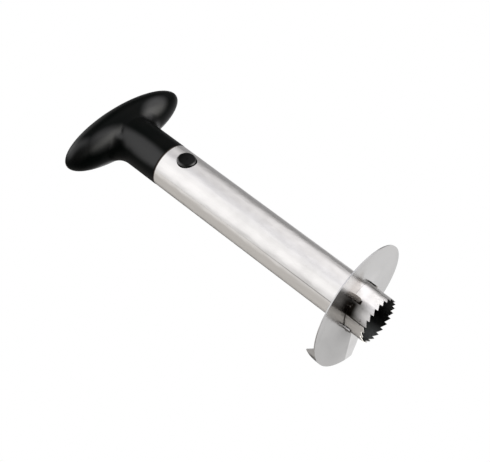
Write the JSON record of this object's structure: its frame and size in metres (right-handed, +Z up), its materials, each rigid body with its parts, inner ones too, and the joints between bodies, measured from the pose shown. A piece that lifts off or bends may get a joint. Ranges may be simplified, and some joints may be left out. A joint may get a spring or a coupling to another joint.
{
  "type": "pineapple peeler",
  "caption": "T-handled pineapple corer and slicer: a toothed steel tube with a one-turn spiral slicing blade, and a grip locked in the tube by two spring buttons.",
  "frame": {"origin": "on the tube's axis, in the plane of the saw teeth's tips", "axes": "+Z up the tube from the teeth to the grip, +X along the T-grip, Y through the two release buttons"},
  "size_m": [0.103, 0.0872, 0.2455],
  "materials": {
    "tube_steel": "satin",
    "blade_steel": "polished",
    "handle_plastic": "satin",
    "cap_plastic": "satin",
    "plug_plastic": "matte",
    "button_plastic": "satin",
    "spring_steel": "bright drawn wire"
  },
  "bodies": {
    "tool": {"corer_tube": "tube_steel", "spiral_blade": "blade_steel", "handle_body": "handle_plastic", "handle_cap": "cap_plastic", "spigot_plug": "plug_plastic", "latch_spring": "spring_steel"},
    "button_front": {"release_button_front": "button_plastic"},
    "button_rear": {"release_button_rear": "button_plastic"}
  },
  "joints": [
    {"name": "button_front_press", "type": "slide", "parent": "tool", "child": "button_front", "axis": [0, 1, 0], "range_m": [0, 0.003], "stiffness_N_per_m": 1000, "springref_m": -0.003, "deforming": ["latch_spring"]},
    {"name": "button_rear_press", "type": "slide", "parent": "tool", "child": "button_rear", "axis": [0, -1, 0], "range_m": [0, 0.003], "stiffness_N_per_m": 1000, "springref_m": -0.003, "deforming": ["latch_spring"]}
  ]
}
